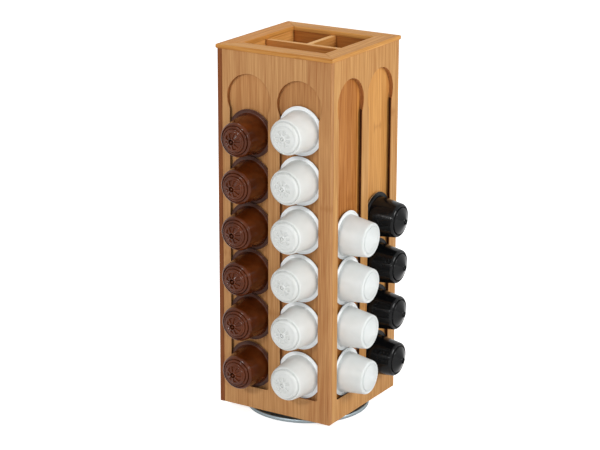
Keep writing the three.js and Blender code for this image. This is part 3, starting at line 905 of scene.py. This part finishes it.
def round_rings(shape, profile, segments):
    for radius, height, rounding in profile:
        if rounding == 0:
            continue
        ring = [
            e for e in shape.edges
            if all(
                abs(math.hypot(v.co.x, v.co.y) - radius * MM) < TOLERANCE * MM
                and near(v.co.z, height * MM)
                for v in e.verts
            )
        ]
        bevel(shape, ring, rounding, segments)


def sink_pockets(shape, depth):
    inside = []
    for face in shape.faces:
        middle = face.calc_center_median()
        radius = math.hypot(middle.x, middle.y) / MM
        if POCKET_INNER < radius < POCKET_OUTER and face.normal.z > 0:
            sector = (math.atan2(middle.y, middle.x) / (2 * math.pi) % 1) * CAPSULE_STEPS
            if sector % (CAPSULE_STEPS / SPOKES) < POCKET_STEPS:
                inside.append(face)
    wall = POCKET_WALL * MM
    bmesh.ops.inset_region(
        shape, faces=inside, thickness=wall, depth=-depth * MM, use_even_offset=True
    )
    return len(inside)


def capsule_shape(kind):
    tip = TIPS[kind]
    outlet = [(radius, tip + height, rounding) for radius, height, rounding in OUTLETS[kind]]
    profile = LID + [(FLANGE_RADIUS, FOIL_EDGES[kind], 0)] + FLANGE_AND_WALL + FRONTS[kind] + outlet
    shape = lathe(profile, CAPSULE_STEPS)
    sunk = sink_pockets(shape, POCKET_DEPTHS[kind]) if kind in POCKET_DEPTHS else 0
    round_rings(shape, profile, 3)
    return shape, sunk


trial, sunk = capsule_shape("brown_capsule")
print("capsule faces", len(trial.faces), "pocket faces", sunk)
trial.free()

# %% [markdown]
# A capsule hangs by its flange. The weight of its front tips it until the flange's top edge meets
# the lips and its bottom edge meets the backboard, so the tilt follows from the depth of the
# groove. The wide white ones lean only half as far in the photograph. Every capsule also stands
# turned about its own axis, as a hand leaves it. The boxes of the CAD nodes give each one's height
# and channel.

# %% Hang the twenty capsules
groove_front = panel_front + LIP_THICKNESS
groove_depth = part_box("front_backboard")[0].y / MM - groove_front
freedom = groove_depth - FLANGE_THICKNESS - 2 * GROOVE_CLEARANCE
full_lean = math.asin(freedom / (2 * FLANGE_RADIUS))
groove_middle = groove_front + groove_depth / 2
LEANS = dict(zip(KINDS, (1.0, 0.5, 1.0, 1.0)))
FACE_OF_KIND = dict(zip(KINDS, (0, 0, 1, 1)))
FOIL, FLANGE = 1, 2
turner = random.Random(12)


def hang(node, kind):
    shape, _ = capsule_shape(kind)
    for face in shape.faces:
        middle = face.calc_center_median()
        if middle.z < FOIL_EDGES[kind] * MM:
            face.material_index = FOIL
        elif middle.z < FLANGE_TOP * MM:
            face.material_index = FLANGE
    low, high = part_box(node)
    turns = FACE_OF_KIND[kind]
    sideways = (low.x + high.x) / 2 if turns == 0 else (low.y + high.y) / 2
    own_turn = Matrix.Rotation(turner.uniform(0, 2 * math.pi), 4, "Z")
    tilt = Matrix.Rotation(QUARTER + LEANS[kind] * full_lean, 4, "X")
    place = Matrix.Translation((sideways, groove_middle * MM, (low.z + high.z) / 2))
    to_face = Matrix.Rotation(turns * QUARTER, 4, "Z")
    bmesh.ops.transform(shape, matrix=to_face @ place @ tilt @ own_turn, verts=shape.verts)
    plastics = [cup_plastics[kind], foil, flange_plastics_painted_light_and_shade[kind]]
    return make_piece(f"{node}_cup", shape, plastics, [node])


for kind in KINDS:
    nodes = sorted(n for n in frame["nodes"] if n.startswith(kind + "_"))
    for node in nodes:
        piece = hang(node, kind)
    print(kind, len(nodes), "faces each", len(piece.data.polygons))

# %% [markdown]
# The turntable is two pressed plates with a ring of balls between them, held by a rivet. The
# plates, the pad and the rivet are round, so they are spun too, with the corners of the pressing
# rounded. The balls are real ones in a sheet metal cage with a hole for each.

# %% Sizes of the turntable
SHEET = 1.2
RACE_DEPTH = 0.6
RACE_FLOOR = 2.0
RACE_MOUTH = 4.4
BALL_RADIUS = 2.4
BALL_COUNT = 12
CAGE_WIDTH = 8
CAGE_THICKNESS = 0.8
SKIRT_CLEARANCE = 0.8
RIVET_RADIUS = 3.0
PLAY = 0.2
TURN_STEPS = 144
ROD_STEPS = 32

lower_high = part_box("turntable_lower_plate")[1]
upper_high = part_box("turntable_upper_plate")[1]
pad_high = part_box("non_slip_pad")[1]
cage_low, cage_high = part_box("ball_cage")
rivet_low, rivet_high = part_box("turntable_rivet")
lower_radius = lower_high.x / MM
lower_top = lower_high.z / MM
upper_radius = upper_high.x / MM
upper_top = upper_high.z / MM
race_radius = cage_high.x / MM - CAGE_WIDTH / 2
print("plates in mm", round(2 * lower_radius, 1), round(2 * upper_radius, 1))


# %% Plates, pad and rivet
def spun(name, node, profile, material, cutters=(), steps=TURN_STEPS):
    shape = lathe(profile, steps)
    round_rings(shape, profile, 3)
    if cutters:
        shape = cut(shape, cutters)
    return make_piece(name, shape, [material], [node])


def rod(x, y, radius, low, high):
    shape = bmesh.new()
    place = Matrix.Translation((x * MM, y * MM, (low + high) / 2 * MM))
    bmesh.ops.create_cone(
        shape,
        cap_ends=True,
        segments=ROD_STEPS,
        radius1=radius * MM,
        radius2=radius * MM,
        depth=(high - low) * MM,
        matrix=place,
    )
    return shape


screw_boxes = [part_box(f"plate_screw_{number}") for number in (1, 2, 3, 4)]
screw_places = [((low.x + high.x) / 2 / MM, (low.y + high.y) / 2 / MM) for low, high in screw_boxes]
ACCESS_RADIUS = 5.5


def access_hole():
    return rod(*screw_places[0], ACCESS_RADIUS, -OVERRUN, upper_top)


underside = lower_top - SHEET
half_floor = RACE_FLOOR / 2
half_mouth = RACE_MOUTH / 2
hole = RIVET_RADIUS + PLAY
lower_profile = [
    (hole, underside, 0),
    (race_radius - half_mouth, underside, 0),
    (race_radius - half_floor, underside - RACE_DEPTH, 0),
    (race_radius + half_floor, underside - RACE_DEPTH, 0),
    (race_radius + half_mouth, underside, 0),
    (lower_radius - SHEET, underside, 0.6),
    (lower_radius - SHEET, SKIRT_CLEARANCE, 0),
    (lower_radius, SKIRT_CLEARANCE, 0.3),
    (lower_radius, lower_top, 1.8),
    (race_radius + half_mouth, lower_top, 0.3),
    (race_radius + half_floor, lower_top - RACE_DEPTH, 0.3),
    (race_radius - half_floor, lower_top - RACE_DEPTH, 0.3),
    (race_radius - half_mouth, lower_top, 0.3),
    (hole, lower_top, 0),
    (hole, underside, 0),
]
access = [access_hole()]
spun("lower_plate_pressing", "turntable_lower_plate", lower_profile, plate_steel, access)

GLUE_LINE = 0.1
HEAD_RADIUS = 7
HEAD_THICKNESS = 1
HEAD_CLEARANCE = 0.8
pad_radius = pad_high.x / MM
pad_top = pad_high.z / MM
head_pocket = HEAD_RADIUS + HEAD_CLEARANCE
pad_profile = [
    (0, 0, 0),
    (pad_radius, 0, 0.8),
    (pad_radius, pad_top, 0),
    (head_pocket, pad_top, 0),
    (head_pocket, pad_top - HEAD_THICKNESS - GLUE_LINE, 0),
    (0, pad_top - HEAD_THICKNESS - GLUE_LINE, 0),
]
spun("foam_rubber_pad", "non_slip_pad", pad_profile, rubber, [access_hole()])

upper_underside = upper_top - SHEET
DISH_DEPTH = 2.4
DISH_FLOOR = 10
DISH_RIM = 14
upper_profile = [
    (hole, upper_underside - DISH_DEPTH, 0),
    (DISH_FLOOR, upper_underside - DISH_DEPTH, 0.5),
    (DISH_RIM, upper_underside, 0.5),
    (race_radius - half_mouth, upper_underside, 0.2),
    (race_radius - half_floor, upper_underside + RACE_DEPTH, 0.2),
    (race_radius + half_floor, upper_underside + RACE_DEPTH, 0.2),
    (race_radius + half_mouth, upper_underside, 0.2),
    (upper_radius, upper_underside, 0.4),
    (upper_radius, upper_top, 0.4),
    (DISH_RIM, upper_top, 0.5),
    (DISH_FLOOR, upper_top - DISH_DEPTH, 0.5),
    (hole, upper_top - DISH_DEPTH, 0),
    (hole, upper_underside - DISH_DEPTH, 0),
]
SCREW_HOLE_RADIUS = 1.95
screw_holes = [
    rod(x, y, SCREW_HOLE_RADIUS, lower_top, upper_top + OVERRUN) for x, y in screw_places
]
spun("upper_plate_pressing", "turntable_upper_plate", upper_profile, plate_steel, screw_holes)

rivet_bottom = rivet_low.z / MM
rivet_top = rivet_high.z / MM
rivet_profile = [
    (0, rivet_bottom, 0),
    (HEAD_RADIUS, rivet_bottom, 0.3),
    (HEAD_RADIUS, rivet_bottom + HEAD_THICKNESS, 0),
    (RIVET_RADIUS, rivet_bottom + HEAD_THICKNESS, 0),
    (RIVET_RADIUS, rivet_top - HEAD_THICKNESS, 0),
    (HEAD_RADIUS, rivet_top - HEAD_THICKNESS, 0),
    (RIVET_RADIUS, rivet_top, 0.4),
    (0, rivet_top, 0),
]
spun("turntable_rivet_turned", "turntable_rivet", rivet_profile, fastener_steel, steps=48)
print("plates, pad and rivet spun")

# %% [markdown]
# The balls run in the pressed races, and a flat ring of sheet steel keeps them apart. The ring is
# spun and drilled, and a sphere goes into each hole.

# %% Balls in their cage
ball_middle = (cage_low.z + cage_high.z) / 2 / MM
cage_rise = CAGE_THICKNESS / 2
inner_edge = race_radius - CAGE_WIDTH / 2
outer_edge = race_radius + CAGE_WIDTH / 2
cage_profile = [
    (inner_edge, ball_middle - cage_rise, 0.1),
    (outer_edge, ball_middle - cage_rise, 0.1),
    (outer_edge, ball_middle + cage_rise, 0.1),
    (inner_edge, ball_middle + cage_rise, 0.1),
    (inner_edge, ball_middle - cage_rise, 0),
]
BALL = 1
ball_places = []
for count in range(BALL_COUNT):
    angle = 2 * math.pi * count / BALL_COUNT
    ball_places.append((race_radius * math.cos(angle), race_radius * math.sin(angle)))
ring = lathe(cage_profile, TURN_STEPS)
round_rings(ring, cage_profile, 2)
ring = cut(ring, [rod(x, y, BALL_RADIUS, ball_middle - 1, ball_middle + 1) for x, y in ball_places])
for x, y in ball_places:
    before = set(ring.faces)
    place = Matrix.Translation((x * MM, y * MM, ball_middle * MM))
    bmesh.ops.create_uvsphere(
        ring, u_segments=24, v_segments=12, radius=BALL_RADIUS * MM, matrix=place
    )
    for face in set(ring.faces) - before:
        face.material_index = BALL
make_piece("ball_ring_in_cage", ring, [fastener_steel, ball_steel], ["ball_cage"])
print("balls", len(ball_places), "round a circle of radius", round(race_radius, 1))

# %% [markdown]
# Four pan head wood screws hold the upper plate to the bottom board. Each is spun, and a cross
# recess for the driver is cut out of its head. The thread is inside the board, where nothing
# shows, so the shank stays plain with a point.

# %% Plate screws
SCREW_RADIUS = 1.75
SCREW_HEAD_RADIUS = 3.5
SCREW_HEAD_THICKNESS = 1.8
SCREW_CROWN_RADIUS = 2.1
SCREW_POINT = 2.5
RECESS_LENGTH = 3.2
RECESS_WIDTH = 0.8
RECESS_DEPTH = 1.0


def plate_screw(number):
    low, high = screw_boxes[number - 1]
    bottom, tip = low.z / MM, high.z / MM
    seat = bottom + SCREW_HEAD_THICKNESS
    profile = [
        (0, bottom, 0),
        (SCREW_CROWN_RADIUS, bottom, 0.5),
        (SCREW_HEAD_RADIUS, bottom + SCREW_HEAD_THICKNESS / 2, 0.4),
        (SCREW_HEAD_RADIUS, seat, 0.1),
        (SCREW_RADIUS, seat, 0),
        (SCREW_RADIUS, tip - SCREW_POINT, 0),
        (0, tip, 0),
    ]
    shape = lathe(profile, ROD_STEPS)
    round_rings(shape, profile, 2)
    recesses = []
    for length, width in ((RECESS_LENGTH, RECESS_WIDTH), (RECESS_WIDTH, RECESS_LENGTH)):
        half = Vector((length / 2, width / 2, RECESS_DEPTH)) * MM
        centre = Vector((0, 0, bottom * MM))
        recesses.append(block(centre - half, centre + half))
    shape = cut(shape, recesses)
    x, y = screw_places[number - 1]
    bmesh.ops.translate(shape, verts=shape.verts, vec=(x * MM, y * MM, 0))
    node = f"plate_screw_{number}"
    return make_piece(f"{node}_turned", shape, [fastener_steel], [node])


for number in (1, 2, 3, 4):
    piece = plate_screw(number)
    print(piece.name, "faces", len(piece.data.polygons))

# %% [markdown]
# The photograph fixes the camera. Its place and turn were solved from the corners of the tower, so
# they are written here as angles and a place, with the lens for a 36 mm wide sensor. The Standard
# view transform shows each colour as it was calculated.

# %% Camera
AZIMUTH = math.radians(31.7648)
ELEVATION = math.radians(17.0392)
ROLL = math.radians(0.1527)
LENS = 124.124
CAMERA_PLACE = (1.17772, -1.92035, 0.90502)

camera_data = bpy.data.cameras.new("camera")
camera_data.lens = LENS
camera = bpy.data.objects.new("camera", camera_data)
bpy.context.scene.collection.objects.link(camera)
bpy.context.scene.camera = camera
bpy.context.scene.view_settings.view_transform = "Standard"
back = Vector((
    math.sin(AZIMUTH) * math.cos(ELEVATION),
    -math.cos(AZIMUTH) * math.cos(ELEVATION),
    math.sin(ELEVATION),
))
level_right = Vector((math.cos(AZIMUTH), math.sin(AZIMUTH), 0))
level_up = back.cross(level_right)
right = level_right * math.cos(ROLL) + level_up * math.sin(ROLL)
up = level_up * math.cos(ROLL) - level_right * math.sin(ROLL)
turn = Matrix((right, up, back)).transposed().to_4x4()
camera.matrix_world = Matrix.Translation(CAMERA_PLACE) @ turn
print("camera", [round(c, 3) for c in camera.location])

# %% [markdown]
# The object stands on a wide white floor under a white sky, with hardly any shadow. The floor is
# plain diffuse white. For the camera it also has a white of its own, which leaves only the darkest
# part of the shadow, and in reflections that white is weaker, so that the steel and the plastic
# stay dark from below. The sky lights everything softly at less than full strength, and looks
# white only to the camera and in reflections.

# %% Floor and sky
FLOOR_RADIUS = 7
OWN_WHITE = 0.7
REFLECTED_WHITE = 0.3
SKY_LEVEL = 0.43

floor_shape = bmesh.new()
bmesh.ops.create_circle(floor_shape, cap_ends=True, segments=64, radius=FLOOR_RADIUS)
floor = object_from("floor", floor_shape)
floor_paper, tree = new_material("white_studio_paper")
paper = add_node(tree, "BsdfDiffuse", {"Color": linear("#F4F4F4")})
path = add_node(tree, "LightPath").outputs
seen = {0: path["Is Camera Ray"], 1: path["Is Transmission Ray"]}
seen = add_node(tree, "Math", seen, operation="MAXIMUM")
own = add_node(tree, "Math", {0: path["Is Glossy Ray"], 1: REFLECTED_WHITE}, operation="MULTIPLY")
own = add_node(tree, "Math", {0: seen, 1: OWN_WHITE, 2: own}, operation="MULTIPLY_ADD")
glow = add_node(tree, "Emission", {"Color": linear("#FFFFFF"), "Strength": own})
finish_material(tree, add_node(tree, "AddShader", {0: paper, 1: glow}))
floor.data.materials.append(floor_paper)

sky = bpy.data.worlds.new("sky")
bpy.context.scene.world = sky
sky.use_nodes = True
sky.node_tree.nodes.clear()
tree = sky.node_tree
path = add_node(tree, "LightPath").outputs
seen = {0: path["Is Camera Ray"], 1: path["Is Glossy Ray"]}
seen = add_node(tree, "Math", seen, operation="MAXIMUM")
seen = add_node(tree, "Math", {0: seen, 1: path["Is Transmission Ray"]}, operation="MAXIMUM")
soft = add_node(tree, "Background", {"Color": linear("#FFFFFF"), "Strength": SKY_LEVEL})
white = add_node(tree, "Background", {"Color": linear("#FFFFFF"), "Strength": 1.0})
shown = add_node(tree, "MixShader", {0: seen, 1: soft, 2: white})
add_node(tree, "OutputWorld", {"Surface": shown})
print("floor radius in m", FLOOR_RADIUS, "sky level", SKY_LEVEL)

# %% [markdown]
# In the photograph the right face is about a third brighter than the front, and the walls of its
# channels that face the viewer's left lie in shade, so the key lamp stands to the right and a
# little behind. The fill lamp stands almost straight before the front face. Two small and weak
# lamps, one overhead and one at the right front, do little for the wood, but their pictures are
# glints on the brown and black capsules. The sky fills the rest.

# %% Lamps
AIM = Vector((0, 0, 0.22))


def soft_lamp(name, place, size, watts):
    data = bpy.data.lights.new(name, "AREA")
    data.shape = "DISK"
    data.size = size
    data.energy = watts
    lamp = bpy.data.objects.new(name, data)
    bpy.context.scene.collection.objects.link(lamp)
    towards = (AIM - Vector(place)).to_track_quat("-Z", "Y")
    lamp.matrix_world = Matrix.Translation(place) @ towards.to_matrix().to_4x4()
    return lamp


lamps = [
    soft_lamp("key_lamp", (2.4, 0.15, 1.25), 1.0, 34),
    soft_lamp("fill_lamp", (-0.1, -2.55, 1.4), 0.4, 26),
    soft_lamp("overhead_lamp", (-0.45, 0.05, 2.2), 0.3, 6),
    soft_lamp("side_lamp", (1.6, -1.7, 0.8), 0.15, 6),
]
print("watts", [lamp.data.energy for lamp in lamps])
